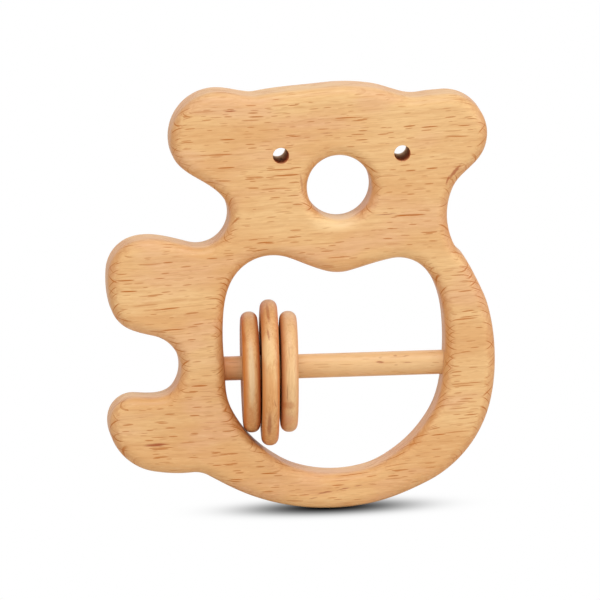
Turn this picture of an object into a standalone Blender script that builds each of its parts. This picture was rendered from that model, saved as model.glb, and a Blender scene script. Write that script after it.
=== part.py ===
"""Wooden baby rattle: a flat koala board with a belly opening, a cross rod and three loose rings on it.

Metres, +Z up. The koala's front faces -Y, and its arm and its leg point to -X. The origin is on the
floor, below the middle of the board's width and of its thickness.
"""

import math
from collections import namedtuple

import bmesh
import bpy
from mathutils import Vector
from mathutils.geometry import interpolate_bezier

# One rounded stretch of an outline: a circle's centre and radius, and the angles in degrees where the
# outline joins and leaves it. The outline runs anticlockwise seen from the front, so a stretch that
# turns the other way is a hollow.
Arc = namedtuple("Arc", "x z radius start end")

# Heights are measured up from the floor and every x from the board's middle. A depth is measured down
# from the top of the head, and an inset in from the board's left or right side.

# Board: the head's height counts from the chin, which is the top middle of the belly opening
CHIN_Z = 0.0589
HEAD_HEIGHT = 0.0465
BOARD_HALF_WIDTH = 0.0480
BOARD_THICKNESS = 0.0150
EDGE_ROUNDING = 0.0030

# Head: the crown, the two ears and the shallow notch beside each ear
CROWN_X = 0.0115
CROWN_RADIUS = 0.0448
LEFT_NOTCH_X = -0.0106
LEFT_NOTCH_DEPTH = 0.0019
LEFT_NOTCH_RADIUS = 0.0053
RIGHT_NOTCH_X = 0.0296
RIGHT_NOTCH_DEPTH = 0.0033
RIGHT_NOTCH_RADIUS = 0.0110
LEFT_EAR_X = -0.0194
LEFT_EAR_DEPTH = 0.0126
LEFT_EAR_RADIUS = 0.0120
RIGHT_EAR_INSET = 0.0007
RIGHT_EAR_DEPTH = 0.0127
RIGHT_EAR_RADIUS = 0.0100

# Neck: the hollow under each ear
LEFT_NECK_X = -0.0171
LEFT_NECK_DEPTH = 0.0315
LEFT_NECK_RADIUS = 0.0077
RIGHT_NECK_X = 0.0369
RIGHT_NECK_DEPTH = 0.0333
RIGHT_NECK_RADIUS = 0.0168

# Arm and leg, with the hollow of the waist between them and of the crotch below them
ARM_TOP_Z = 0.0685
ARM_TOP_INSET = 0.0004
ARM_TOP_RADIUS = 0.0091
ARM_LOW_Z = 0.0455
ARM_LOW_INSET = 0.0008
ARM_LOW_RADIUS = 0.0081
WAIST_X = -0.0300
WAIST_Z = 0.0361
WAIST_RADIUS = 0.0085
LEG_TOP_Z = 0.0292
LEG_TOP_RADIUS = 0.0064
LEG_LOW_Z = 0.0103
LEG_LOW_BULGE = 0.0003
LEG_LOW_RADIUS = 0.0135
CROTCH_X = -0.0271
CROTCH_Z = 0.0100
CROTCH_RADIUS = 0.0067

# Belly: the seat that the rattle stands on, and the round back
SEAT_X = 0.0066
SEAT_RADIUS = 0.0546
LOWER_BACK_INSET = 0.0004
LOWER_BACK_Z = 0.0329
LOWER_BACK_RADIUS = 0.0300
UPPER_BACK_Z = 0.0384
UPPER_BACK_RADIUS = 0.0440
SHOULDER_INSET = 0.0024
SHOULDER_Z = 0.0466
SHOULDER_RADIUS = 0.0267

# Face: a round nose hole with rounded edges, and two plain drilled eyes
NOSE_X = 0.0103
NOSE_DEPTH = 0.0253
NOSE_RADIUS = 0.0080
EYES_X = 0.0109
EYE_SPACING = 0.0301
LEFT_EYE_DEPTH = 0.0167
RIGHT_EYE_DEPTH = 0.0170
EYE_RADIUS = 0.0020

# Belly opening: the walls left round it, its chin and cheeks, its front and back and its floor
WAIST_WALL = 0.0106
SEAT_WALL = 0.0086
BACK_WALL = 0.0123
CHIN_X = 0.0096
CHIN_RADIUS = 0.0114
LEFT_CHEEK_X = -0.0067
LEFT_CHEEK_RISE = 0.0047
LEFT_CHEEK_RADIUS = 0.0116
RIGHT_CHEEK_X = 0.0245
RIGHT_CHEEK_RISE = 0.0032
RIGHT_CHEEK_RADIUS = 0.0089
FRONT_Z = 0.0433
FRONT_RADIUS = 0.0640
BACK_Z = 0.0420
BACK_RADIUS = 0.0616
LEFT_FLOOR_X = 0.0076
LEFT_FLOOR_Z = 0.0362
LEFT_FLOOR_RADIUS = 0.0274
FLOOR_X = 0.0080
FLOOR_RADIUS = 0.0298
RIGHT_FLOOR_X = 0.0053
RIGHT_FLOOR_Z = 0.0387
RIGHT_FLOOR_RADIUS = 0.0310

# Cross rod, glued into both walls
ROD_Z = 0.0350
ROD_RADIUS = 0.0030
ROD_SEAT_DEPTH = 0.0080
GLUE_GAP = 0.00015

# Rings, loose on the rod
SMALL_RING_RADIUS = 0.0150
LARGE_RING_RADIUS = 0.0181
RING_THICKNESS = 0.0042
RING_EDGE_ROUNDING = 0.0019
RING_BORE_ROUNDING = 0.0005
RING_PLAY = 0.0014
CONTACT_GAP = 0.0003

# Fineness of the meshes
POINT_SPACING = 0.0022
POINT_TURN = 12
EDGE_SEGMENTS = 3
NOSE_SIDES = 40
ROUND_SIDES = 24
RING_SIDES = 40
RING_CORNER_STEPS = 3


HEAD_TOP = CHIN_Z + HEAD_HEIGHT


def clear_scene():
    for item in list(bpy.data.objects):
        bpy.data.objects.remove(item, do_unlink=True)


def new_collection(name):
    collection = bpy.data.collections.new(name)
    bpy.context.scene.collection.children.link(collection)
    return collection


def add_object(name, mesh, collection, material=None):
    item = bpy.data.objects.new(name, mesh)
    collection.objects.link(item)
    if material:
        mesh.materials.append(material)
    return item


def wood(name, colour, roughness):
    material = bpy.data.materials.new(name)
    material.use_nodes = True
    shader = material.node_tree.nodes["Principled BSDF"]
    shader.inputs["Base Color"].default_value = (*colour, 1)
    shader.inputs["Roughness"].default_value = roughness
    shader.inputs["Metallic"].default_value = 0
    return material


def knots_of(arcs):
    """The outline's knots: each arc's points, at most 50 degrees apart, with the direction of travel."""
    knots = []
    for arc in arcs:
        turn = arc.end - arc.start
        steps = max(1, math.ceil(abs(turn) / 50))
        for i in range(steps + 1):
            angle = math.radians(arc.start + turn * i / steps)
            outwards = Vector((math.cos(angle), math.sin(angle)))
            along = Vector((-outwards.y, outwards.x)) * math.copysign(1, turn)
            knots.append((Vector((arc.x, arc.z)) + outwards * arc.radius, along))
    return knots


def outline_of(arcs):
    """The closed outline through the arcs, with a smooth curve from each arc to the next."""
    knots = knots_of(arcs)
    points = []
    for (here, leaving), (there, arriving) in zip(knots, knots[1:] + knots[:1]):
        chord = (there - here).length
        turn = leaving.angle(arriving)
        reach = chord / (3 * math.cos(turn / 4) ** 2)
        steps = max(
            1, math.ceil(chord / POINT_SPACING), math.ceil(math.degrees(turn) / POINT_TURN)
        )
        curve = interpolate_bezier(
            here, here + leaving * reach, there - arriving * reach, there, steps + 1
        )
        points += [Vector(point[:2]) for point in curve[:-1]]
    return points


def koala_outline():
    """The board's outer edge, from the crown over the left ear, down to the seat and up the back."""
    top = HEAD_TOP
    side = BOARD_HALF_WIDTH
    ear_x = side - RIGHT_EAR_INSET - RIGHT_EAR_RADIUS
    arm_top_x = ARM_TOP_INSET + ARM_TOP_RADIUS - side
    arm_low_x = ARM_LOW_INSET + ARM_LOW_RADIUS - side
    leg_low_x = LEG_LOW_RADIUS - LEG_LOW_BULGE - side
    shoulder_x = side - SHOULDER_INSET - SHOULDER_RADIUS
    lower_back_x = side - LOWER_BACK_INSET - LOWER_BACK_RADIUS
    right_neck_x = RIGHT_NECK_X + RIGHT_NECK_RADIUS
    left_notch_z = top - LEFT_NOTCH_DEPTH + LEFT_NOTCH_RADIUS
    right_notch_z = top - RIGHT_NOTCH_DEPTH + RIGHT_NOTCH_RADIUS
    return outline_of(
        [
            Arc(CROWN_X, top - CROWN_RADIUS, CROWN_RADIUS, 80, 95),
            Arc(LEFT_NOTCH_X, left_notch_z, LEFT_NOTCH_RADIUS, -80, -95),
            Arc(LEFT_EAR_X, top - LEFT_EAR_DEPTH, LEFT_EAR_RADIUS, 95, 195),
            Arc(LEFT_NECK_X - LEFT_NECK_RADIUS, top - LEFT_NECK_DEPTH, LEFT_NECK_RADIUS, 35, -105),
            Arc(arm_top_x, ARM_TOP_Z - ARM_TOP_RADIUS, ARM_TOP_RADIUS, 105, 175),
            Arc(arm_low_x, ARM_LOW_Z + ARM_LOW_RADIUS, ARM_LOW_RADIUS, 195, 240),
            Arc(WAIST_X - WAIST_RADIUS, WAIST_Z, WAIST_RADIUS, 75, -35),
            Arc(LEG_TOP_RADIUS - side, LEG_TOP_Z - LEG_TOP_RADIUS, LEG_TOP_RADIUS, 85, 170),
            Arc(leg_low_x, LEG_LOW_Z + LEG_LOW_RADIUS, LEG_LOW_RADIUS, 205, 260),
            Arc(CROTCH_X, CROTCH_Z - CROTCH_RADIUS, CROTCH_RADIUS, 95, 60),
            Arc(SEAT_X, SEAT_RADIUS, SEAT_RADIUS, 250, 280),
            Arc(lower_back_x, LOWER_BACK_Z, LOWER_BACK_RADIUS, 295, 345),
            Arc(side - UPPER_BACK_RADIUS, UPPER_BACK_Z, UPPER_BACK_RADIUS, 5, 15),
            Arc(shoulder_x, SHOULDER_Z, SHOULDER_RADIUS, 25, 35),
            Arc(right_neck_x, top - RIGHT_NECK_DEPTH, RIGHT_NECK_RADIUS, 210, 155),
            Arc(ear_x, top - RIGHT_EAR_DEPTH, RIGHT_EAR_RADIUS, -35, 95),
            Arc(RIGHT_NOTCH_X, right_notch_z, RIGHT_NOTCH_RADIUS, -80, -105),
        ]
    )


def opening_outline():
    """The belly opening's edge, from the left cheek down to the floor and up again to the chin."""
    front = WAIST_X + WAIST_WALL
    back = BOARD_HALF_WIDTH - BACK_WALL
    left_cheek_z = CHIN_Z + LEFT_CHEEK_RISE - LEFT_CHEEK_RADIUS
    right_cheek_z = CHIN_Z + RIGHT_CHEEK_RISE - RIGHT_CHEEK_RADIUS
    return outline_of(
        [
            Arc(LEFT_CHEEK_X, left_cheek_z, LEFT_CHEEK_RADIUS, 70, 145),
            Arc(front + FRONT_RADIUS, FRONT_Z, FRONT_RADIUS, 175, 185),
            Arc(LEFT_FLOOR_X, LEFT_FLOOR_Z, LEFT_FLOOR_RADIUS, 200, 235),
            Arc(FLOOR_X, SEAT_WALL + FLOOR_RADIUS, FLOOR_RADIUS, 250, 285),
            Arc(RIGHT_FLOOR_X, RIGHT_FLOOR_Z, RIGHT_FLOOR_RADIUS, 305, 330),
            Arc(back - BACK_RADIUS, BACK_Z, BACK_RADIUS, 355, 365),
            Arc(RIGHT_CHEEK_X, right_cheek_z, RIGHT_CHEEK_RADIUS, 35, 100),
            Arc(CHIN_X, CHIN_Z + CHIN_RADIUS, CHIN_RADIUS, -75, -105),
        ]
    )


def circle_outline(x, z, radius, sides):
    turns = [2 * math.pi * i / sides for i in range(sides)]
    return [Vector((x + radius * math.cos(a), z + radius * math.sin(a))) for a in turns]


def edge_crossings(outline, z):
    """Where an outline's edge crosses a height, from left to right."""
    crossings = []
    for low, high in zip(outline, outline[1:] + outline[:1]):
        if (low.y <= z) != (high.y <= z):
            crossings.append(low.x + (high.x - low.x) * (z - low.y) / (high.y - low.y))
    return sorted(crossings)


def add_outline(curve, points):
    spline = curve.splines.new("POLY")
    spline.points.add(len(points) - 1)
    for corner, point in zip(spline.points, points):
        corner.co = (point.x, point.y, 0, 1)
    spline.use_cyclic_u = True


def slab_mesh(name, outer, holes, thickness, rounding):
    """A flat board with holes through it, standing in the XZ plane, with every edge rounded over."""
    curve = bpy.data.curves.new(name, "CURVE")
    curve.dimensions = "2D"
    curve.fill_mode = "BOTH"
    curve.extrude = thickness / 2 - rounding
    curve.bevel_depth = rounding
    curve.bevel_resolution = EDGE_SEGMENTS - 1
    curve.offset = -rounding
    add_outline(curve, outer)
    for hole in holes:
        add_outline(curve, hole[::-1])
    flat = bpy.data.objects.new(name, curve)
    bpy.context.scene.collection.objects.link(flat)
    flat.rotation_euler = (math.pi / 2, 0, 0)
    bpy.context.view_layer.update()
    graph = bpy.context.evaluated_depsgraph_get()
    mesh = bpy.data.meshes.new_from_object(flat.evaluated_get(graph))
    mesh.transform(flat.matrix_world)
    bpy.data.objects.remove(flat, do_unlink=True)
    body = bmesh.new()
    body.from_mesh(mesh)
    bmesh.ops.remove_doubles(body, verts=body.verts, dist=1e-6)
    bmesh.ops.recalc_face_normals(body, faces=body.faces)
    body.to_mesh(mesh)
    body.free()
    return mesh


def cylinder(name, collection, start, end, radius, material=None):
    """A plain cylinder between two points."""
    start = Vector(start)
    end = Vector(end)
    mesh = bpy.data.meshes.new(name)
    body = bmesh.new()
    bmesh.ops.create_cone(
        body,
        cap_ends=True,
        segments=ROUND_SIDES,
        radius1=radius,
        radius2=radius,
        depth=(end - start).length,
    )
    body.to_mesh(mesh)
    body.free()
    item = add_object(name, mesh, collection, material)
    item.location = (start + end) / 2
    item.rotation_mode = "QUATERNION"
    item.rotation_quaternion = (end - start).to_track_quat("Z", "Y")
    return item


def cut(item, cutter):
    cutter.hide_render = True
    cutter.display_type = "WIRE"
    difference = item.modifiers.new(f"cut {cutter.name}", "BOOLEAN")
    difference.operation = "DIFFERENCE"
    difference.object = cutter


def smooth(item, angle=40):
    item.data.shade_smooth()
    item.data.set_sharp_from_angle(angle=math.radians(angle))


def rod_ends(outer, opening):
    """The rod's left end, sunk in the front wall, and its right end, flush with the back's outer edge."""
    left = min(edge_crossings(opening, ROD_Z)) - ROD_SEAT_DEPTH
    heights = (ROD_Z - ROD_RADIUS, ROD_Z, ROD_Z + ROD_RADIUS)
    right = min(max(edge_crossings(outer, z)) for z in heights)
    return left, right


def koala_board(outer, opening, collection, cutters, material):
    """The board, with its eyes drilled through and the rod's bore drilled in from the back's edge."""
    nose = circle_outline(NOSE_X, HEAD_TOP - NOSE_DEPTH, NOSE_RADIUS, NOSE_SIDES)
    rounding = min(EDGE_ROUNDING, 0.45 * BOARD_THICKNESS)
    mesh = slab_mesh("koala_board", outer, [opening, nose], BOARD_THICKNESS, rounding)
    board = add_object("koala_board", mesh, collection, material)
    for side, depth, name in (
        (-1, LEFT_EYE_DEPTH, "left_eye_drill"),
        (1, RIGHT_EYE_DEPTH, "right_eye_drill"),
    ):
        x = EYES_X + side * EYE_SPACING / 2
        z = HEAD_TOP - depth
        front = (x, -BOARD_THICKNESS, z)
        back = (x, BOARD_THICKNESS, z)
        cut(board, cylinder(name, cutters, front, back, EYE_RADIUS))
    left, right = rod_ends(outer, opening)
    start = (left - CONTACT_GAP, 0, ROD_Z)
    end = (right + BACK_WALL, 0, ROD_Z)
    cut(board, cylinder("rod_drill", cutters, start, end, ROD_RADIUS + GLUE_GAP))
    smooth(board)
    return board


def cross_rod(outer, opening, collection, material):
    left, right = rod_ends(outer, opening)
    rod = cylinder(
        "cross_rod", collection, (left, 0, ROD_Z), (right, 0, ROD_Z), ROD_RADIUS, material
    )
    smooth(rod)
    return rod


def corner_points(x, z, radius, start):
    """A quarter circle of a turned profile, running clockwise."""
    turns = [math.radians(start - 90 * i / RING_CORNER_STEPS) for i in range(RING_CORNER_STEPS + 1)]
    return [(x + radius * math.cos(a), z + radius * math.sin(a)) for a in turns]


def ring(name, radius, centre, collection, material):
    """A turned ring with rounded rims. Its own axis lies along X."""
    half = RING_THICKNESS / 2
    bore = ROD_RADIUS + RING_PLAY
    rim = radius - RING_EDGE_ROUNDING
    lip = bore + RING_BORE_ROUNDING
    profile = (
        corner_points(rim, half - RING_EDGE_ROUNDING, RING_EDGE_ROUNDING, 90)
        + corner_points(rim, RING_EDGE_ROUNDING - half, RING_EDGE_ROUNDING, 0)
        + corner_points(lip, RING_BORE_ROUNDING - half, RING_BORE_ROUNDING, 270)
        + corner_points(lip, half - RING_BORE_ROUNDING, RING_BORE_ROUNDING, 180)
    )
    mesh = bpy.data.meshes.new(name)
    corners = [(x, 0, z) for x, z in profile]
    count = len(corners)
    mesh.from_pydata(corners, [(i, (i + 1) % count) for i in range(count)], [])
    item = add_object(name, mesh, collection, material)
    screw = item.modifiers.new("turned", "SCREW")
    screw.steps = RING_SIDES
    screw.render_steps = RING_SIDES
    screw.use_merge_vertices = True
    screw.merge_threshold = 1e-5
    screw.use_smooth_shade = True
    item.location = centre
    item.rotation_euler = (0, math.pi / 2, 0)
    return item


def ring_half_width(radius, height):
    """Half the thickness of a ring's edge at a height from its centre, grown by the contact gap."""
    past_flank = abs(height) - (radius - RING_EDGE_ROUNDING)
    if past_flank <= 0:
        return RING_THICKNESS / 2 + CONTACT_GAP
    round_reach = RING_EDGE_ROUNDING + CONTACT_GAP
    if past_flank >= round_reach:
        return None
    flat = RING_THICKNESS / 2 - RING_EDGE_ROUNDING
    return flat + math.sqrt(round_reach**2 - past_flank**2)


def ring_stops(opening, radius, z):
    """The leftmost and rightmost places of a ring's centre in the opening."""
    middle = sum(point.x for point in opening) / len(opening)
    left = []
    right = []
    for here, there in zip(opening, opening[1:] + opening[:1]):
        for part in range(10):
            point = here.lerp(there, part / 10)
            half = ring_half_width(radius, point.y - z)
            if half is None:
                continue
            if point.x < middle:
                left.append(point.x + half)
            else:
                right.append(point.x - half)
    return max(left), min(right)


def rings(opening, collection, material):
    """Three rings pushed together to the left end of the rod, hanging on it by their bores."""
    z = ROD_Z - RING_PLAY + CONTACT_GAP
    pitch = RING_THICKNESS + CONTACT_GAP
    small_left, small_right = ring_stops(opening, SMALL_RING_RADIUS, z)
    large_left, large_right = ring_stops(opening, LARGE_RING_RADIUS, z)
    first = max(small_left, large_left - pitch)
    travel = min(small_right - first - 2 * pitch, large_right - first - pitch)
    print(f"the rings start at {first:.5f}, {pitch:.5f} apart, and have {travel:.5f} to slide")
    for i, (name, radius) in enumerate(
        (
            ("ring_left", SMALL_RING_RADIUS),
            ("ring_middle", LARGE_RING_RADIUS),
            ("ring_right", SMALL_RING_RADIUS),
        )
    ):
        ring(name, radius, (first + i * pitch, 0, z), collection, material)


def main():
    clear_scene()
    parts = new_collection("wooden_rattle")
    cutters = new_collection("cutters")
    outer = koala_outline()
    opening = opening_outline()
    board_beech = wood("board beech", (0.79, 0.49, 0.25), 0.5)
    rod_beech = wood("rod beech", (0.82, 0.54, 0.29), 0.5)
    ring_beech = wood("ring beech", (0.76, 0.46, 0.23), 0.45)
    koala_board(outer, opening, parts, cutters, board_beech)
    cross_rod(outer, opening, parts, rod_beech)
    rings(opening, parts, ring_beech)


main()
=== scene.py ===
"""Looks of the wooden baby rattle: fine meshes, beech with rays and growth rings, and a white studio."""

import math
from collections import namedtuple

import bmesh
import bpy
import numpy as np
from mathutils import Matrix, Vector
from mathutils.geometry import delaunay_2d_cdt, interpolate_bezier


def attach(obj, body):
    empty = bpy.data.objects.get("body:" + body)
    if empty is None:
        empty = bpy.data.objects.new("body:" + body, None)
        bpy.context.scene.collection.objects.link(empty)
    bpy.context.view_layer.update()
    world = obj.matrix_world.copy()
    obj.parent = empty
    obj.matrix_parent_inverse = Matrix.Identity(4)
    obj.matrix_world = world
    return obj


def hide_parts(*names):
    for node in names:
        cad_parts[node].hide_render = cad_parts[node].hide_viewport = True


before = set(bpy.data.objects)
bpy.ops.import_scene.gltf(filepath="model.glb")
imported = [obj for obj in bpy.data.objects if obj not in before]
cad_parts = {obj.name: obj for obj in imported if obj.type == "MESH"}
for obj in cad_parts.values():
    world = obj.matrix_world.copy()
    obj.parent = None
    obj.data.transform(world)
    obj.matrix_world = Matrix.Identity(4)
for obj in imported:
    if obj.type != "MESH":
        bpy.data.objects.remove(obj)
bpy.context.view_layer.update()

# One rounded stretch of an outline: a circle's centre and radius, and the angles in degrees where the
# outline joins and leaves it. The outlines run anticlockwise seen from the front.
Arc = namedtuple("Arc", "x z radius start end")

# Board
HALF_WIDTH = 0.0480
THICKNESS = 0.0150
ROUNDING = 0.0030
CHIN_Z = 0.0589
TOP = 0.1054
NOSE = (0.0103, TOP - 0.0253, 0.0080)
EYES = ((-0.00415, TOP - 0.0167, 0.0020), (0.02595, TOP - 0.0170, 0.0020))
EYE_LIP = 0.00006

# Rod
ROD_Z = 0.0350
ROD_RADIUS = 0.0030
ROD_SEAT_DEPTH = 0.0080
ROD_END_LIP = 0.00012
GLUE_GAP = 0.00008
BORE_BEHIND_ROD = 0.0003
BORE_PAST_BOARD = 0.005

# Rings: each one's radius, the x and z of its middle, the yaw and lean in degrees that turn it as in
# the photo, and its looks: the grain's seed, how pale it is, and the strength of the painted shade on
# its shoulders
Ring = namedtuple("Ring", "name radius x z yaw lean seed pale burnish")
RING_THICKNESS = 0.0042
RING_ROUNDING = 0.0019
RING_BORE = 0.0044
RING_LIP = 0.0006
RINGS = (
    Ring("left", 0.0150, -0.01248, 0.03395, -2.0, -0.2, 2.1, 0.05, 0.85),
    Ring("middle", 0.0181, -0.0078, 0.0337, -2.1, 0.75, 7.7, 0.0, 0.6),
    Ring("right", 0.0150, -0.0030, 0.0338, -1.9, 0.85, 12.9, 0.35, 0.7),
)

# The board's outline starts at the top of the head, and the belly opening's left of the chin
OUTER_ARCS = (
    Arc(0.0115, TOP - 0.0448, 0.0448, 80, 95),
    Arc(-0.0106, TOP + 0.0034, 0.0053, -80, -95),
    Arc(-0.0194, TOP - 0.0126, 0.0120, 95, 195),
    Arc(-0.0248, TOP - 0.0315, 0.0077, 35, -105),
    Arc(0.0095 - HALF_WIDTH, 0.0594, 0.0091, 105, 175),
    Arc(0.0089 - HALF_WIDTH, 0.0536, 0.0081, 195, 240),
    Arc(-0.0385, 0.0361, 0.0085, 75, -35),
    Arc(0.0064 - HALF_WIDTH, 0.0228, 0.0064, 85, 170),
    Arc(0.0132 - HALF_WIDTH, 0.0238, 0.0135, 205, 260),
    Arc(-0.0271, 0.0033, 0.0067, 95, 60),
    Arc(0.0066, 0.0546, 0.0546, 250, 280),
    Arc(HALF_WIDTH - 0.0304, 0.0329, 0.0300, 295, 345),
    Arc(HALF_WIDTH - 0.0440, 0.0384, 0.0440, 5, 15),
    Arc(HALF_WIDTH - 0.0291, 0.0466, 0.0267, 25, 35),
    Arc(0.0537, TOP - 0.0333, 0.0168, 210, 155),
    Arc(HALF_WIDTH - 0.0107, TOP - 0.0127, 0.0100, -35, 95),
    Arc(0.0296, TOP + 0.0077, 0.0110, -80, -105),
)
OPENING_ARCS = (
    Arc(-0.0067, CHIN_Z - 0.0069, 0.0116, 70, 145),
    Arc(0.0446, 0.0433, 0.0640, 175, 185),
    Arc(0.0076, 0.0362, 0.0274, 200, 235),
    Arc(0.0080, 0.0384, 0.0298, 250, 285),
    Arc(0.0053, 0.0387, 0.0310, 305, 330),
    Arc(HALF_WIDTH - 0.0739, 0.0420, 0.0616, 355, 365),
    Arc(0.0245, CHIN_Z - 0.0057, 0.0089, 35, 100),
    Arc(0.0096, CHIN_Z + 0.0114, 0.0114, -75, -105),
)

# Fineness of the outlines and of the board's walls. One curve of an outline follows at most CURVE_TURN
# degrees of an arc.
CURVE_TURN = 50
CURVE_POINTS = 60
SPACING = 0.0005
ROUND_STEPS = 9
WALL_STEPS = 8
SUPPORT = 0.00025
NOSE_SIDES = 110
EYE_SIDES = 40

# Fineness of the flat front and back: the points' spacing, the shares of it between two rows and next
# to a rim, how much the points are enlarged while the triangles are found, and how near two may come
CAP_SPACING = 0.0016
CAP_ROW = 0.87
CAP_CLEARANCE = 0.55
CAP_SCALE = 100
CAP_EPSILON = 1e-6

# Fineness of the turned pieces
ROD_SIDES = 72
ROD_STEP = 0.0006
ROD_END_STEP = 0.0004
ROD_END_SHARES = (1, 0.97, 0.6, 0.25, 0.05)
RING_SIDES = 144
RING_STEPS = 8
RING_LIP_STEPS = 4

# Points of a mesh that are nearer than this become one
MERGE = 2e-6
# Edges that turn by more than these angles in degrees stay sharp
BOARD_SHARP = 38
ROD_SHARP = 30
RING_SHARP = 50


# Outlines

def outline_of(arcs):
    """Points along the closed outline through the arcs, evenly spaced."""
    knots = []
    for arc in arcs:
        turn = arc.end - arc.start
        steps = max(1, math.ceil(abs(turn) / CURVE_TURN))
        for i in range(steps + 1):
            angle = math.radians(arc.start + turn * i / steps)
            outwards = Vector((math.cos(angle), math.sin(angle)))
            along = Vector((-outwards.y, outwards.x)) * math.copysign(1, turn)
            knots.append((Vector((arc.x, arc.z)) + outwards * arc.radius, along))
    points = []
    for (here, leaving), (there, arriving) in zip(knots, knots[1:] + knots[:1]):
        reach = (there - here).length / (3 * math.cos(leaving.angle(arriving) / 4) ** 2)
        curve = interpolate_bezier(
            here, here + leaving * reach, there - arriving * reach, there, CURVE_POINTS
        )
        points += [tuple(point[:2]) for point in curve[:-1]]
    return evenly(np.array(points))


def evenly(points):
    """The same closed outline, with its points about SPACING apart."""
    closed = np.vstack([points, points[:1]])
    lengths = np.concatenate([[0], np.cumsum(np.hypot(*np.diff(closed, axis=0).T))])
    count = int(round(lengths[-1] / SPACING))
    places = np.linspace(0, lengths[-1], count, endpoint=False)
    return np.stack([np.interp(places, lengths, closed[:, i]) for i in (0, 1)], axis=1)


def circle(x, z, radius, sides):
    turns = np.linspace(0, 2 * math.pi, sides, endpoint=False)
    return np.stack([x + radius * np.cos(turns), z + radius * np.sin(turns)], axis=1)


def outward_of(points):
    """The direction square out of an outline, at each of its points."""
    along = np.roll(points, -1, 0) - np.roll(points, 1, 0)
    along /= np.hypot(*along.T)[:, None]
    return np.stack([along[:, 1], -along[:, 0]], axis=1)


def inside(points, outline):
    """Which points lie inside a closed outline."""
    low, high = outline, np.roll(outline, -1, 0)
    x, z = points[:, :1], points[:, 1:]
    spans = (low[:, 1] <= z) != (high[:, 1] <= z)
    rise = np.where(high[:, 1] == low[:, 1], 1, high[:, 1] - low[:, 1])
    at = low[:, 0] + (high[:, 0] - low[:, 0]) * (z - low[:, 1]) / rise
    return (spans & (at > x)).sum(axis=1) % 2 == 1


def on_wood(points, rims):
    """Which points lie inside the first rim and outside the others."""
    kept = inside(points, rims[0])
    for rim in rims[1:]:
        kept &= ~inside(points, rim)
    return kept


def crossings(outline, z):
    """Where along x an outline passes the height z."""
    low, high = outline, np.roll(outline, -1, 0)
    hit = (low[:, 1] <= z) != (high[:, 1] <= z)
    low, high = low[hit], high[hit]
    return low[:, 0] + (high[:, 0] - low[:, 0]) * (z - low[:, 1]) / (high[:, 1] - low[:, 1])


# Meshes

def finished_mesh(name, verts, faces):
    mesh = bpy.data.meshes.new(name)
    body = bmesh.new()
    corners = [body.verts.new(point) for point in verts]
    for face in faces:
        body.faces.new([corners[i] for i in face])
    bmesh.ops.remove_doubles(body, verts=body.verts, dist=MERGE)
    bmesh.ops.recalc_face_normals(body, faces=body.faces)
    body.to_mesh(mesh)
    body.free()
    return mesh


def smooth(mesh, angle):
    """Smooth shading, with the edges sharper than the angle in degrees kept."""
    mesh.shade_smooth()
    mesh.set_sharp_from_angle(angle=math.radians(angle))


def add_loops(verts, faces, loops, flip):
    """Quads between loops of equal length."""
    count = len(loops[0])
    base = len(verts)
    for loop in loops:
        verts += [tuple(point) for point in loop]
    for i in range(len(loops) - 1):
        for j in range(count):
            k = (j + 1) % count
            quad = [base + i * count + j, base + i * count + k,
                    base + (i + 1) * count + k, base + (i + 1) * count + j]
            faces.append(quad[::-1] if flip else quad)


def loop_at(points, y):
    """Points of an outline, as a loop in space at the depth y."""
    return np.stack([points[:, 0], np.full(len(points), y), points[:, 1]], axis=1)


def rounded_wall(points, into):
    """The loops over a wall from its back face to its front face. into points into the wood."""
    half = THICKNESS / 2
    flat = half - ROUNDING
    back = [(ROUNDING + SUPPORT, half)]
    for i in range(ROUND_STEPS, -1, -1):
        angle = math.radians(90 * i / ROUND_STEPS)
        back.append((ROUNDING * (1 - math.cos(angle)), flat + ROUNDING * math.sin(angle)))
    middle = [(0, flat - 2 * flat * i / WALL_STEPS) for i in range(1, WALL_STEPS)]
    front = [(inset, -y) for inset, y in reversed(back)]
    return [loop_at(points + into * inset, y) for inset, y in back + middle + front]


def drilled_wall(points):
    """The loops over the wall of a plain hole, with a hair of a lip at both ends."""
    half = THICKNESS / 2
    into = outward_of(points)
    steps = ((EYE_LIP, half), (0, half - EYE_LIP), (0, 0), (0, EYE_LIP - half), (EYE_LIP, -half))
    return [loop_at(points + into * inset, y) for inset, y in steps]


def cap_field(rims):
    """An even field of points on the flat wood between the rims."""
    low, high = rims[0].min(axis=0), rims[0].max(axis=0)
    rows = []
    for i, z in enumerate(np.arange(low[1], high[1], CAP_SPACING * CAP_ROW)):
        xs = np.arange(low[0] + (i % 2) * CAP_SPACING / 2, high[0], CAP_SPACING)
        rows.append(np.stack([xs, np.full(len(xs), z)], axis=1))
    field = np.vstack(rows)
    rim = np.vstack(rims)
    apart = np.hypot(field[:, :1] - rim[:, 0], field[:, 1:] - rim[:, 1]).min(axis=1)
    field = field[apart > CAP_SPACING * CAP_CLEARANCE]
    return field[on_wood(field, rims)]


def add_caps(verts, faces, rims):
    """The flat front and back between the rims, in triangles over an even field of points."""
    edges, start = [], 0
    for rim in rims:
        count = len(rim)
        edges += [(start + i, start + (i + 1) % count) for i in range(count)]
        start += count
    coords = [Vector(point) * CAP_SCALE for point in np.vstack(rims + [cap_field(rims)])]
    flat, _, triangles, *_ = delaunay_2d_cdt(coords, edges, [], 0, CAP_EPSILON)
    flat = np.array([tuple(point) for point in flat]) / CAP_SCALE
    triangles = np.array(triangles)
    triangles = triangles[on_wood(flat[triangles].mean(axis=1), rims)]
    for y, flip in ((-THICKNESS / 2, False), (THICKNESS / 2, True)):
        base = len(verts)
        verts += [(x, y, z) for x, z in flat]
        for triangle in triangles:
            corners = [base + int(i) for i in triangle]
            faces.append(corners[::-1] if flip else corners)


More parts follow.
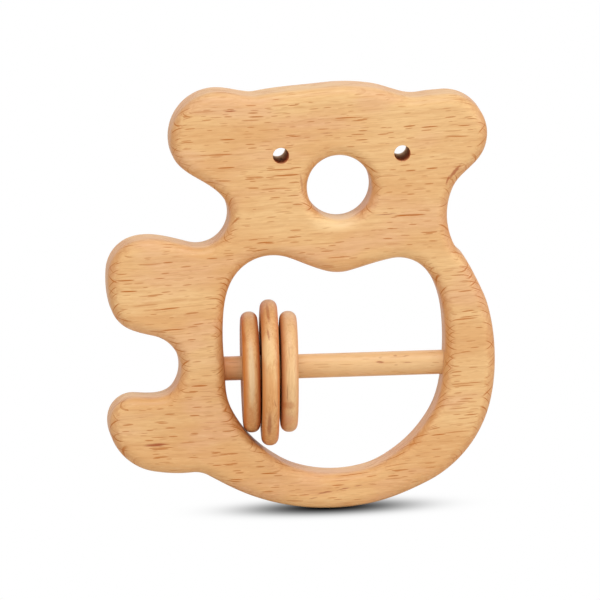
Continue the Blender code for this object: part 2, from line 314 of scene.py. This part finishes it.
def board_mesh(outer, opening):
    verts, faces, rims = [], [], []
    for points, sign in ((outer, -1), (opening, 1), (circle(*NOSE, NOSE_SIDES), 1)):
        loops = rounded_wall(points, outward_of(points) * sign)
        add_loops(verts, faces, loops, sign > 0)
        rims.append(loops[0][:, [0, 2]])
    for eye in EYES:
        loops = drilled_wall(circle(*eye, EYE_SIDES))
        add_loops(verts, faces, loops, True)
        rims.append(loops[0][:, [0, 2]])
    add_caps(verts, faces, rims)
    return finished_mesh("board", verts, faces)


def drill(mesh, cutter_mesh):
    """The mesh less the cutter."""
    scene = bpy.context.scene.collection
    item = bpy.data.objects.new("to_drill", mesh)
    cutter = bpy.data.objects.new("drill", cutter_mesh)
    scene.objects.link(item)
    scene.objects.link(cutter)
    cut = item.modifiers.new("cut", "BOOLEAN")
    cut.operation = "DIFFERENCE"
    cut.solver = "EXACT"
    cut.object = cutter
    graph = bpy.context.evaluated_depsgraph_get()
    result = bpy.data.meshes.new_from_object(item.evaluated_get(graph))
    bpy.data.objects.remove(item, do_unlink=True)
    bpy.data.objects.remove(cutter, do_unlink=True)
    return result


def turned(name, profile, sides, closed):
    """A mesh turned about the X axis from (x, radius) points."""
    verts, faces = [], []
    turns = np.linspace(0, 2 * math.pi, sides, endpoint=False)
    loops = [
        np.stack([np.full(sides, x), radius * np.cos(turns), radius * np.sin(turns)], axis=1)
        for x, radius in profile
    ]
    if closed:
        loops.append(loops[0])
    add_loops(verts, faces, loops, False)
    if not closed:
        faces.append(list(range(sides)))
        faces.append(list(range(len(verts) - sides, len(verts)))[::-1])
    return finished_mesh(name, verts, faces)


def corner(x, r, radius, start, steps):
    """A quarter turn of a profile, from the angle start clockwise."""
    turns = [math.radians(start - 90 * i / steps) for i in range(steps + 1)]
    return [(x + radius * math.cos(a), r + radius * math.sin(a)) for a in turns]


def bore_mesh(left):
    """The drill that cuts the rod's bore, from the left seat out of the board's right edge."""
    radius = ROD_RADIUS + GLUE_GAP
    profile = [(left - BORE_BEHIND_ROD, radius), (HALF_WIDTH + BORE_PAST_BOARD, radius)]
    bore = turned("bore", profile, ROD_SIDES, False)
    bore.transform(Matrix.Translation((0, 0, ROD_Z)))
    return bore


def rod_mesh(left, outer):
    """The dowel, with its right end sanded flush with the board's edge."""
    right = max(crossings(outer, ROD_Z))
    xs = np.linspace(left, right - ROD_END_STEP, int((right - left) / ROD_STEP))
    verts, faces = [], []
    turns = np.linspace(0, 2 * math.pi, ROD_SIDES, endpoint=False)
    y, z = ROD_RADIUS * np.cos(turns), ROD_RADIUS * np.sin(turns)
    loops = [np.stack([np.full(ROD_SIDES, x), y, ROD_Z + z], axis=1) for x in xs]
    for share in ROD_END_SHARES:
        at = np.array([max(crossings(outer, ROD_Z + share * h)) for h in z])
        lip = ROD_END_LIP if share == 1 else 0
        loops.append(np.stack([at - lip, share * y, ROD_Z + share * z], axis=1))
    add_loops(verts, faces, loops, False)
    faces.append(list(range(ROD_SIDES)))
    faces.append(list(range(len(verts) - ROD_SIDES, len(verts)))[::-1])
    mesh = finished_mesh("rod", verts, faces)
    smooth(mesh, ROD_SHARP)
    return mesh


def ring_mesh(ring):
    half = RING_THICKNESS / 2
    rim = ring.radius - RING_ROUNDING
    lip = RING_BORE + RING_LIP
    face = [(half, rim + (lip - rim) * i / RING_STEPS) for i in range(1, RING_STEPS)]
    profile = (
        corner(RING_ROUNDING - half, rim, RING_ROUNDING, 180, RING_STEPS)
        + corner(half - RING_ROUNDING, rim, RING_ROUNDING, 90, RING_STEPS)
        + face
        + corner(half - RING_LIP, lip, RING_LIP, 0, RING_LIP_STEPS)
        + corner(RING_LIP - half, lip, RING_LIP, 270, RING_LIP_STEPS)
        + [(-x, r) for x, r in face[::-1]]
    )
    mesh = turned(f"ring {ring.name}", profile, RING_SIDES, True)
    smooth(mesh, RING_SHARP)
    lean = Matrix.Rotation(math.radians(ring.lean), 4, "Y")
    yaw = Matrix.Rotation(math.radians(ring.yaw), 4, "Z")
    mesh.transform(Matrix.Translation((ring.x, 0, ring.z)) @ lean @ yaw)
    return mesh


# Beech

# How far the fibres wander and ripple, in mm
WANDER = 3.2
RIPPLE = 0.5
# Growth layers in a millimetre, and how many of them the ripple shifts
LAYERS = 0.42
LAYER_RIPPLE = 0.8
# The wood's roughness, and what the fibres and the flecks add to it
ROUGHNESS = 0.38
FIBRE_ROUGHNESS = 0.14
FLECK_ROUGHNESS = 0.12
# The relief's depth in metres, and how strongly it shows
RELIEF = 0.00006
RELIEF_STRENGTH = 0.25
FLECK_STRENGTH = 0.95
# Where in mm the painted light on the eyes' walls sets in, from the front to the back of the holes, and
# the painted shade on the dowel, from the right to the left of its left end
FAR_END_LIGHT_SPAN = (-5.5, 3.5)
ROD_END_SHADE_SPAN = (-13.0, -20.0)

BASE = (221, 168, 108)
CLOUD = (232, 188, 129)
PINK = (226, 174, 130)
FIBRE = (216, 161, 100)
STREAK = (190, 114, 54)
LATE_WOOD = (194, 132, 72)
FINE_DARK = (199, 142, 80)
FINE_LIGHT = (240, 205, 149)
END_GRAIN = (191, 118, 56)
# Painted shade on the rings' rounded shoulders, between one ring and the next
SHOULDER_SHADE_COLOUR = (190, 90, 24)
SANDED = (244, 210, 158)
# Painted shade on the dowel's left end, where the rings and the board hide it
ROD_END_SHADE = (230, 132, 30)
FLECK = (180, 100, 12)
MARKED = (160, 74, 20)
# The eyes' walls: the bit's scorch, together with painted shade inside the narrow hole
SCORCH_AND_SHADE = (202, 104, 84)
# Painted light: the pale far end of the eyes' walls, lit from behind the hole
FAR_END_LIGHT = (236, 212, 186)

# One kind of fleck: the cell that holds one of them, along the fibres, through the ribbon and down
# into it, in mm, the share of the cell that it fills, a shift, and its strength
Flecks = namedtuple("Flecks", "cell share shift strength")
RAY_FLECKS = (
    Flecks((8.5, 0.52, 18.0), 0.28, 0.0, 1.0),
    Flecks((5.0, 0.44, 14.0), 0.27, 37.3, 0.75),
)
LAYER_FLECKS = (
    Flecks((15.0, 0.52, 20.0), 0.26, 113.1, 1.0),
    Flecks((5.5, 0.46, 16.0), 0.28, 71.9, 0.85),
)
# Seams: their spacing in mm and a shift
RAY_SEAMS = (1.5, 5.5)
LAYER_SEAMS = (1.3, 21.0)

# One single mark, most of them in the wood itself and some of them painted light and shade: its middle
# and half sizes in mm, its rise to the right in degrees, its strength and its colour
Mark = namedtuple("Mark", "middle size rise strength colour", defaults=(MARKED,))
BOARD_MARKS = (
    Mark((38.8, -6.8, 83.4), (3.2, 2.5, 0.6), 48, 0.75),
    Mark((37.0, -6.8, 81.4), (1.6, 2.0, 0.35), 70, 0.7),
    Mark((0.8, -6.8, 81.8), (0.4, 2.0, 3.4), 6, 0.4),
    Mark((-36.8, -7.0, 17.5), (3.8, 2.0, 0.6), 2, 0.95),
    Mark((2.0, -6.5, 2.9), (1.6, 2.5, 0.2), 12, 0.6),
    Mark((5.0, -6.5, 4.3), (3.2, 2.5, 0.25), 9, 0.8),
    Mark((9.5, -6.5, 5.0), (2.6, 2.5, 0.22), 8, 0.7),
    Mark((13.2, -6.5, 5.7), (1.6, 2.5, 0.25), 5, 0.75),
    Mark((-16.4, -7.0, 100.2), (2.2, 2.0, 0.22), 3, 0.7),
    Mark((21.6, -7.0, 73.4), (3.4, 2.0, 0.2), 3, 0.65),
    Mark((7.2, -7.0, 94.1), (2.0, 2.0, 0.22), 2, 0.65),
    # Painted light: pale cream over the up-facing rounding and wall at the bottom of the nose hole
    Mark((9.0, -2.0, 71.6), (9.5, 10.0, 3.6), 0, 0.6, (250, 220, 166)),
    # Painted shade: a soft brown band on the left-facing side at the right of the nose hole
    Mark((17.5, -3.5, 78.5), (3.2, 6.0, 6.5), 0, 0.35, (212, 158, 112)),
)
ROD_MARKS = (
    Mark((19.6, -3.0, 35.8), (1.3, 1.5, 0.38), -4, 0.8),
    Mark((19.9, -3.0, 36.9), (0.9, 1.5, 0.2), 12, 0.55),
    Mark((23.5, -2.6, 37.2), (0.7, 1.5, 0.2), 0, 0.5),
    Mark((26.1, -2.6, 37.0), (1.3, 1.5, 0.18), 6, 0.45),
    Mark((23.6, -3.0, 35.0), (0.7, 1.5, 0.2), 0, 0.5),
    Mark((26.4, -3.0, 35.4), (1.6, 1.5, 0.22), 2, 0.5),
)
RING_MARKS = {
    "left": (
        # Painted shade: orange down the left ring's left shoulder
        Mark((-14.6, -13.5, 34.0), (1.1, 7.0, 17.0), 0, 0.55, (204, 126, 56)),
        # Painted highlight: a pale band down the middle of the left ring's rim
        Mark((-13.05, -14.5, 35.9), (0.95, 6.0, 11.5), 0, 0.6, (224, 194, 152)),
        Mark((-14.4, -13.0, 44.5), (0.7, 5.0, 2.4), 0, 0.6, (170, 88, 26)),
        Mark((-13.4, -13.0, 24.0), (1.4, 7.0, 4.5), 0, 0.4, (198, 116, 48)),
    ),
    "middle": (
        Mark((-8.9, -16.0, 31.0), (2.3, 7.0, 9.0), 0, 0.5, (220, 146, 78)),
        Mark((-8.9, -16.0, 41.5), (2.2, 7.0, 5.0), 0, 0.5, (242, 204, 144)),
        Mark((-8.9, -13.0, 23.2), (0.75, 6.0, 5.4), 0, 0.65),
        Mark((-8.3, -9.0, 50.0), (0.55, 9.0, 3.2), 0, 0.6),
        Mark((-8.7, -14.0, 45.2), (0.35, 5.0, 1.8), 8, 0.6),
        Mark((-7.6, -15.0, 28.4), (0.22, 6.0, 1.4), 14, 0.5),
    ),
    "right": (
        Mark((-4.3, -14.0, 30.5), (0.18, 3.0, 3.0), 0, 0.45),
        Mark((-3.6, -14.0, 40.5), (0.14, 4.0, 2.2), 0, 0.4),
        Mark((-4.0, -13.0, 27.2), (2.1, 5.0, 1.3), 0, 0.5, (196, 118, 60)),
        Mark((-3.8, -12.0, 22.6), (2.4, 5.0, 2.6), 0, 0.45, (222, 156, 114)),
    ),
}


def srgb(r, g, b):
    def linear(c):
        c /= 255
        return c / 12.92 if c <= 0.04045 else ((c + 0.055) / 1.055) ** 2.4
    return (linear(r), linear(g), linear(b), 1)


class Tree:
    """Short calls that add nodes to a material or a world."""

    def __init__(self, owner):
        owner.use_nodes = True
        self.nodes = owner.node_tree.nodes
        self.links = owner.node_tree.links

    def put(self, socket, value):
        if isinstance(value, bpy.types.NodeSocket):
            self.links.new(value, socket)
        else:
            socket.default_value = value

    def add(self, kind, inputs=(), **settings):
        node = self.nodes.new(kind)
        for key, value in settings.items():
            setattr(node, key, value)
        for key, value in dict(inputs).items():
            self.put(node.inputs[key], value)
        return node

    def math(self, operation, *values):
        node = self.add("ShaderNodeMath", operation=operation)
        for socket, value in zip(node.inputs, values):
            self.put(socket, value)
        return node.outputs[0]

    def times(self, a, b):
        return self.math("MULTIPLY", a, b)

    def line(self, value, slope, start):
        """value times slope plus start."""
        return self.math("MULTIPLY_ADD", value, slope, start)

    def ramp(self, value, low, high, start=0.0, end=1.0):
        """A smooth step from start to end, as the value goes from low to high."""
        node = self.add("ShaderNodeMapRange", interpolation_type="SMOOTHSTEP")
        for key, item in zip(("Value", "From Min", "From Max", "To Min", "To Max"),
                             (value, low, high, start, end)):
            self.put(node.inputs[key], item)
        return node.outputs["Result"]

    def mix(self, factor, a, b):
        node = self.add("ShaderNodeMix", data_type="RGBA")
        self.put(node.inputs["Factor"], factor)
        self.put(node.inputs["A"], a)
        self.put(node.inputs["B"], b)
        return node.outputs["Result"]

    def combine(self, *parts):
        """A vector of three parts: a value, or a value with its slope and where it starts."""
        node = self.add("ShaderNodeCombineXYZ")
        for socket, part in zip(node.inputs, parts):
            if isinstance(part, tuple):
                value, slope, start = part
                part = self.line(value, slope, start)
            self.put(socket, part)
        return node.outputs[0]

    def scaled(self, vector, scale):
        node = self.add("ShaderNodeVectorMath", operation="SCALE")
        self.put(node.inputs[0], vector)
        self.put(node.inputs["Scale"], scale)
        return node.outputs["Vector"]

    def from_spot(self, vector, middle, turn, size):
        """How far a place is from the middle of an ellipsoid, 1 on its surface."""
        spot = self.add("ShaderNodeMapping", {
            "Vector": vector, "Location": middle, "Rotation": turn, "Scale": size,
        }, vector_type="TEXTURE")
        node = self.add("ShaderNodeVectorMath", operation="LENGTH")
        self.put(node.inputs[0], spot.outputs[0])
        return node.outputs["Value"]

    def noise(self, vector, detail, roughness=0.5):
        node = self.add("ShaderNodeTexNoise", {
            "Vector": vector, "Scale": 1.0, "Detail": detail, "Roughness": roughness,
        })
        return node.outputs["Fac"]


class Beech(Tree):
    """Beech as a solid texture: it runs through the wood, so lines on a face bend over its edges.

    grain is the axis along the fibres, tilt turns the growth layers about it in degrees, and rise
    slopes the fibres against the axis. Rays are thin ribbons along the fibres, square to the growth
    layers. All places are in mm.
    """

    def __init__(self, name, grain="X", tilt=48, rise=0.035, seed=0.0):
        self.material = bpy.data.materials.new(name)
        super().__init__(self.material)
        self.shader = self.nodes["Principled BSDF"]
        self.seed = seed
        coords = self.add("ShaderNodeTexCoord").outputs
        self.place = self.scaled(coords["Object"], 1000.0)
        self.x, self.y, self.z = self.add("ShaderNodeSeparateXYZ", {"Vector": self.place}).outputs
        n_x, n_y, n_z = self.add("ShaderNodeSeparateXYZ", {"Vector": coords["Normal"]}).outputs
        self.along, up, n_along, n_up = self.x, self.z, n_x, n_z
        if grain == "Z":
            self.along, up, n_along, n_up = self.z, self.x, n_z, n_x
        wander = self.noise(self.combine((self.along, 0.018, 0.0), seed, (up, 0.035, 0.0)), 1.5)
        slope = self.line(self.along, -rise, self.line(wander, WANDER, up))
        self.ripple = self.noise(self.combine((self.along, 0.07, 0.0), (slope, 0.3, 0.0), seed), 2.0)
        self.up = self.line(self.ripple, RIPPLE, slope)
        self.layer, self.tangent = self.about_fibres(self.up, self.y, tilt)
        self.n_layer, self.n_tangent = self.about_fibres(n_up, n_y, tilt)

        # how squarely the surface cuts the fibres, and how squarely it faces left or right
        self.across = self.math("ABSOLUTE", n_along)
        self.sideways = self.math("ABSOLUTE", n_x)

        self.fibre = self.noise(self.combine(
            (self.along, 0.035, 0.0), (self.layer, 1.6, 0.0), (self.tangent, 1.6, seed)
        ), 3.0, 0.6)
        self.fine = self.noise(self.combine(
            (self.along, 0.3, 0.0), (self.layer, 3.2, 0.0), (self.tangent, 3.2, 0.0)
        ), 2.0, 0.6)

    def about_fibres(self, up, y, tilt):
        """The parts of a vector square to the growth layers and along them."""
        cos, sin = math.cos(math.radians(tilt)), math.sin(math.radians(tilt))
        return self.line(up, cos, self.times(y, sin)), self.line(up, -sin, self.times(y, cos))

    def tint(self, colour, where, strength, shade):
        """The colour, going over to the shade where that is 1, as far as the strength says."""
        return self.mix(self.times(where, strength), colour, srgb(*shade))

    def dashes(self, thin, deep, kind):
        """Flecks: near a scatter of points in squeezed space."""
        length, width, depth = kind.cell
        where = self.combine(
            (self.along, 1 / length, kind.shift),
            (thin, 1 / width, kind.shift * 1.7 + self.seed),
            (deep, 1 / depth, kind.shift * 0.3),
        )
        cells = self.add("ShaderNodeTexVoronoi", {"Vector": where, "Scale": 1.0, "Randomness": 1.0},
                         voronoi_dimensions="3D")
        chance = self.add("ShaderNodeSeparateColor", {"Color": cells.outputs["Color"]})
        far = self.line(chance.outputs["Green"], kind.share * 0.7, kind.share * 0.45)
        near = self.ramp(self.math("DIVIDE", cells.outputs["Distance"], far), 1.0, 0.72)
        dark = self.ramp(chance.outputs["Red"], 0.3, 1.0, 0.2, 1.0)
        return self.times(self.times(near, dark), kind.strength)

    def seams(self, thin, deep, spacing, shift, strength):
        """Long thin seams that come and go along the fibres, plainest where the fibres are cut."""
        bend = self.noise(self.combine(
            (self.along, 0.05, 0.0), (thin, 0.12, 0.0), (deep, 0.04, shift + self.seed)
        ), 2.0)
        count = self.line(bend, 5.0, self.times(thin, 1 / spacing))
        middle = self.math("ABSOLUTE", self.math("SUBTRACT", self.math("FRACT", count), 0.5))
        seam = self.ramp(middle, 0.13 / spacing, 0.05 / spacing)
        here = self.noise(self.combine(
            (self.along, 0.12, 0.0), (self.math("FLOOR", count), 3.7, 0.0), (deep, 0.07, shift)
        ), 1.0)
        seam = self.times(seam, self.ramp(here, 0.50, 0.58))
        seam = self.times(seam, self.ramp(self.across, 0.84, 0.97, 1.0, 0.3))
        return self.times(seam, self.ramp(self.across, 0.05, 0.5, 0.08 * strength, 0.95 * strength))

    def ribbons(self, thin, deep, facing, kinds, spacing, seams):
        """Cut ribbons. Where the surface lies along them they show broad, but hardly darker."""
        cut = self.seams(thin, deep, *spacing, seams)
        for kind in kinds:
            cut = self.math("MAXIMUM", cut, self.dashes(thin, deep, kind))
        return self.times(cut, self.ramp(self.math("ABSOLUTE", facing), 0.78, 0.97, 1.0, 0.2))

    def flecks(self, seams=1.0):
        """Strength from 0 to 1 of all the small dark lines of beech."""
        rays = self.ribbons(self.tangent, self.layer, self.n_tangent, RAY_FLECKS, RAY_SEAMS, seams)
        layers = self.ribbons(self.layer, self.tangent, self.n_layer, LAYER_FLECKS, LAYER_SEAMS, seams)
        return self.math("MAXIMUM", rays, layers)

    def ground(self, end=0.46, streaks=1.0, dark_streaks=0.0):
        """The wood without its flecks: clouds, fibres, growth layers and end grain."""
        cloud = self.noise(self.combine(
            (self.along, 0.03, 0.0), (self.up, 0.09, 0.0), (self.y, 0.06, 0.0)
        ), 2.0)
        pink = self.noise(self.combine(
            (self.along, 0.05, 9.0), (self.up, 0.12, 0.0), (self.y, 0.1, 0.0)
        ), 2.0)
        colour = self.mix(self.ramp(cloud, 0.35, 0.65), srgb(*BASE), srgb(*CLOUD))
        colour = self.tint(colour, self.ramp(pink, 0.48, 0.68), 0.6, PINK)
        colour = self.tint(colour, self.ramp(self.fibre, 0.35, 0.7), 0.4 * streaks, FIBRE)
        colour = self.tint(colour, self.ramp(self.fibre, 0.52, 0.75), dark_streaks, STREAK)

        # growth layers: soft bands, each with a thin darker late edge
        bands = self.line(self.layer, LAYERS, self.times(self.ripple, LAYER_RIPPLE))
        saw = self.math("FRACT", bands)
        late = self.times(self.ramp(saw, 0.55, 0.97), self.ramp(saw, 1.0, 0.97))
        colour = self.tint(colour, late, 0.18, LATE_WOOD)
        colour = self.tint(colour, self.ramp(self.fine, 0.5, 0.72), 0.28 * streaks, FINE_DARK)
        colour = self.tint(colour, self.ramp(self.fine, 0.45, 0.28), 0.28 * streaks, FINE_LIGHT)

        # end grain drinks more oil: warmer and darker where the surface cuts across the fibres
        pores = self.noise(self.scaled(self.place, 0.9), 3.0, 0.65)
        cut = self.line(pores, 1.2, self.math("SUBTRACT", self.across, 0.6))
        return self.tint(colour, self.ramp(cut, 0.15, 0.8), end, END_GRAIN)

    def marked(self, colour, marks):
        """Adds single marks, ragged by the fine grain."""
        ragged_z = self.line(self.fine, 0.9, self.math("SUBTRACT", self.z, 0.45))
        ragged = self.combine(self.x, self.y, ragged_z)
        for mark in marks:
            turn = (0, -math.radians(mark.rise), 0)
            near = self.ramp(self.from_spot(ragged, mark.middle, turn, mark.size), 1.0, 0.4)
            colour = self.tint(colour, near, mark.strength, mark.colour)
        return colour

    def finish(self, colour, flecks, shine=0.5):
        """The material with this colour, its sheen and its relief."""
        self.put(self.shader.inputs["Base Color"], colour)
        rough = self.line(self.fibre, FIBRE_ROUGHNESS, ROUGHNESS)
        self.put(self.shader.inputs["Roughness"], self.line(flecks, FLECK_ROUGHNESS, rough))
        height = self.line(flecks, -0.8, self.line(self.fine, 0.35, self.times(self.fibre, 0.6)))
        bump = self.add("ShaderNodeBump", {
            "Strength": RELIEF_STRENGTH, "Distance": RELIEF, "Height": height,
        })
        self.put(self.shader.inputs["Normal"], bump.outputs[0])
        self.put(self.shader.inputs["Specular IOR Level"], shine)
        return self.material


def board_wood():
    wood = Beech("beech board")
    flecks = wood.flecks()
    colour = wood.tint(wood.ground(), flecks, FLECK_STRENGTH, FLECK)
    return wood.finish(wood.marked(colour, BOARD_MARKS), flecks)


def drilled_wood():
    """The eyes' walls: red-brown for the bit's scorch and painted shade; painted light at the far end.
    """
    wood = Beech("drilled beech")
    flecks = wood.flecks()
    colour = wood.tint(wood.ground(), flecks, FLECK_STRENGTH, FLECK)
    # darker and redder all over: the bit's scorch together with painted shade inside the narrow hole
    colour = wood.mix(0.45, colour, srgb(*SCORCH_AND_SHADE))
    # paler towards the back face: painted light on the far end of the wall
    colour = wood.tint(colour, wood.ramp(wood.y, *FAR_END_LIGHT_SPAN), 0.9, FAR_END_LIGHT)
    return wood.finish(colour, flecks, shine=0.0)


def dowel_wood():
    """Paler than the board, with painted shade at the left, where the rings and the board hide it."""
    wood = Beech("beech dowel", rise=0.0, seed=5.3)
    flecks = wood.flecks(seams=0.3)
    colour = wood.mix(0.35, wood.ground(), srgb(*SANDED))
    # darker towards the left end: painted shade where the rings and the board hide the dowel
    colour = wood.tint(colour, wood.ramp(wood.x, *ROD_END_SHADE_SPAN), 0.45, ROD_END_SHADE)
    colour = wood.tint(colour, flecks, FLECK_STRENGTH * 0.6, FLECK)
    return wood.finish(wood.marked(colour, ROD_MARKS), flecks)


def ring_wood(ring):
    """Streaky, with painted shade on the shoulders and dull flat faces."""
    wood = Beech(f"beech ring {ring.name}", grain="Z", tilt=20, rise=0.02, seed=ring.seed)
    flecks = wood.flecks(seams=0.0)
    # painted shade on the rounded shoulders, eased on the flat faces
    shoulder_shade_mask = wood.ramp(wood.sideways, 0.3, 0.95)
    shoulder_shade_mask = wood.times(shoulder_shade_mask, wood.ramp(wood.sideways, 0.95, 0.995, 1.0, 0.6))
    colour = wood.ground(end=0.16, streaks=1.8, dark_streaks=0.6)
    colour = wood.tint(colour, shoulder_shade_mask, ring.burnish, SHOULDER_SHADE_COLOUR)
    colour = wood.mix(ring.pale, colour, srgb(*SANDED))
    colour = wood.tint(colour, flecks, FLECK_STRENGTH * 0.3, FLECK)
    shine = wood.ramp(wood.sideways, 0.5, 0.95, 0.5, 0.05)
    return wood.finish(wood.marked(colour, RING_MARKS[ring.name]), flecks, shine)


# Pieces

def add_piece(name, mesh, material, body, node):
    item = bpy.data.objects.new(name, mesh)
    bpy.context.scene.collection.objects.link(item)
    mesh.materials.clear()
    mesh.materials.append(material)
    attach(item, body)
    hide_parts(node)


def add_board(left, outer, opening):
    board = drill(board_mesh(outer, opening), bore_mesh(left))
    smooth(board, BOARD_SHARP)
    add_piece("board", board, board_wood(), "frame", "koala_board")

    # the eyes' walls have the second material, without their lips
    board.materials.append(drilled_wood())
    for face in board.polygons:
        for x, z, radius in EYES:
            if math.hypot(face.center.x - x, face.center.z - z) < radius + EYE_LIP / 4:
                face.material_index = 1


def make_rattle():
    outer = outline_of(OUTER_ARCS)
    opening = outline_of(OPENING_ARCS)
    left = min(crossings(opening, ROD_Z)) - ROD_SEAT_DEPTH
    add_board(left, outer, opening)
    add_piece("dowel", rod_mesh(left, outer), dowel_wood(), "frame", "cross_rod")
    for ring in RINGS:
        add_piece(f"turned_ring_{ring.name}", ring_mesh(ring), ring_wood(ring),
                  f"{ring.name}_ring", f"ring_{ring.name}")


# Studio

IMAGE_PIXELS = 600
PIXELS_PER_METRE = 4029
AZIMUTH, ELEVATION, ROLL = 3.83, 7.90, 1.26
DISTANCE = 5.0
NEAREST, FARTHEST = 0.05, 60
SENSOR = 36
# The pixel of the photograph where the board's front-to-back middle plane crosses x = 0, z = 0
FOOT_PIXEL = (303.4, 505.75)

# The middle of the shade under the seat, how far from it the shade is half as dark, its turn in
# degrees, how steeply it ends, and the logarithm of a half
SEAT = (0.0062, -0.0038, 0.0)
SHADE = (0.0196, 0.0115, 1.0)
SHADE_TURN = 3.7
SHADE_STEEPNESS = 2.9
LOG_HALF = -0.693
FLOOR_RADIUS = 3.0
FLOOR_SIDES = 96
FLOOR_ROUGHNESS = 0.9
FLOOR_BOUNCE = (0.8, 0.8, 0.8, 1)

# Lamps: name, place, width and height in metres, and watts. All point at the same spot.
LAMPS = (
    ("key", (-0.05, -1.0, 2.1), (1.2, 1.0), 18.6),
    ("right", (1.5, -1.5, 0.5), (0.8, 0.8), 4.6),
    ("left", (-1.5, -1.5, 0.5), (0.8, 0.8), 4.7),
    ("rim", (2.1, -0.4, 0.6), (0.8, 0.8), 9),
    ("back", (0.0, 1.1, 1.4), (1.2, 0.8), 2.5),
    ("low", (0.2, -2.0, 0.15), (0.8, 0.25), 2.0),
)
LAMP_AIM = (0, 0, 0.05)
# How much of the white room's look lights the wood
ROOM_LIGHT = 0.59
WHITE = (1, 1, 1, 1)
BLACK = (0, 0, 0, 1)


def add_camera():
    azimuth, elevation, roll = (math.radians(angle) for angle in (AZIMUTH, ELEVATION, ROLL))
    forward = Vector((
        math.sin(azimuth) * math.cos(elevation),
        math.cos(azimuth) * math.cos(elevation),
        -math.sin(elevation),
    ))
    level = forward.cross(Vector((0, 0, 1))).normalized()
    upright = level.cross(forward)
    right = level * math.cos(roll) - upright * math.sin(roll)
    up = level * math.sin(roll) + upright * math.cos(roll)
    across = (IMAGE_PIXELS / 2 - FOOT_PIXEL[0]) / PIXELS_PER_METRE
    above = (FOOT_PIXEL[1] - IMAGE_PIXELS / 2) / PIXELS_PER_METRE
    target = right * across + up * above
    data = bpy.data.cameras.new("camera")
    data.sensor_width = SENSOR
    data.lens = PIXELS_PER_METRE * DISTANCE * SENSOR / IMAGE_PIXELS
    data.clip_start, data.clip_end = NEAREST, FARTHEST
    camera = bpy.data.objects.new("camera", data)
    bpy.context.scene.collection.objects.link(camera)
    basis = Matrix((right, up, -forward)).transposed()
    camera.matrix_world = Matrix.Translation(target - forward * DISTANCE) @ basis.to_4x4()
    bpy.context.scene.camera = camera


def add_lamp(name, place, size, power):
    data = bpy.data.lights.new(name, "AREA")
    data.shape = "RECTANGLE"
    data.size, data.size_y = size
    data.energy = power
    lamp = bpy.data.objects.new(name, data)
    bpy.context.scene.collection.objects.link(lamp)
    lamp.location = place
    lamp.rotation_euler = (Vector(LAMP_AIM) - Vector(place)).to_track_quat("-Z", "Y").to_euler()


def add_room():
    """A white room, whose light on the wood is lower than its look."""
    world = bpy.data.worlds.new("white room")
    bpy.context.scene.world = world
    tree = Tree(world)
    path = tree.add("ShaderNodeLightPath").outputs
    seen = tree.math("MAXIMUM", path["Is Camera Ray"], path["Is Transmission Ray"])
    shiny = tree.math("MAXIMUM", seen, path["Is Glossy Ray"])
    background = tree.nodes["Background"].inputs
    tree.put(background["Strength"], tree.ramp(shiny, 0.0, 1.0, ROOM_LIGHT, 1.0))
    tree.put(background["Color"], WHITE)


def white_paper():
    """White, but for the soft black shade where the round seat touches it."""
    material = bpy.data.materials.new("white paper")
    tree = Tree(material)
    place = tree.add("ShaderNodeTexCoord").outputs["Object"]
    far = tree.from_spot(place, SEAT, (0, 0, math.radians(SHADE_TURN)), SHADE)
    shade = tree.math("EXPONENT", tree.times(tree.math("POWER", far, SHADE_STEEPNESS), LOG_HALF))
    seen = tree.add("ShaderNodeLightPath").outputs["Is Camera Ray"]
    shader = tree.nodes["Principled BSDF"].inputs
    tree.put(shader["Base Color"], tree.mix(seen, FLOOR_BOUNCE, BLACK))
    tree.put(shader["Roughness"], FLOOR_ROUGHNESS)
    tree.put(shader["Specular IOR Level"], 0.0)
    tree.put(shader["Emission Color"], WHITE)
    tree.put(shader["Emission Strength"], tree.times(seen, tree.math("SUBTRACT", 1.0, shade)))
    return material


def add_floor():
    mesh = bpy.data.meshes.new("floor")
    body = bmesh.new()
    bmesh.ops.create_circle(body, cap_ends=True, segments=FLOOR_SIDES, radius=FLOOR_RADIUS)
    body.to_mesh(mesh)
    body.free()
    mesh.materials.append(white_paper())
    floor = bpy.data.objects.new("floor", mesh)
    bpy.context.scene.collection.objects.link(floor)


def add_studio():
    bpy.context.scene.view_settings.view_transform = "Standard"
    add_room()
    add_floor()
    for name, place, size, power in LAMPS:
        add_lamp(name, place, size, power)


add_camera()
make_rattle()
add_studio()
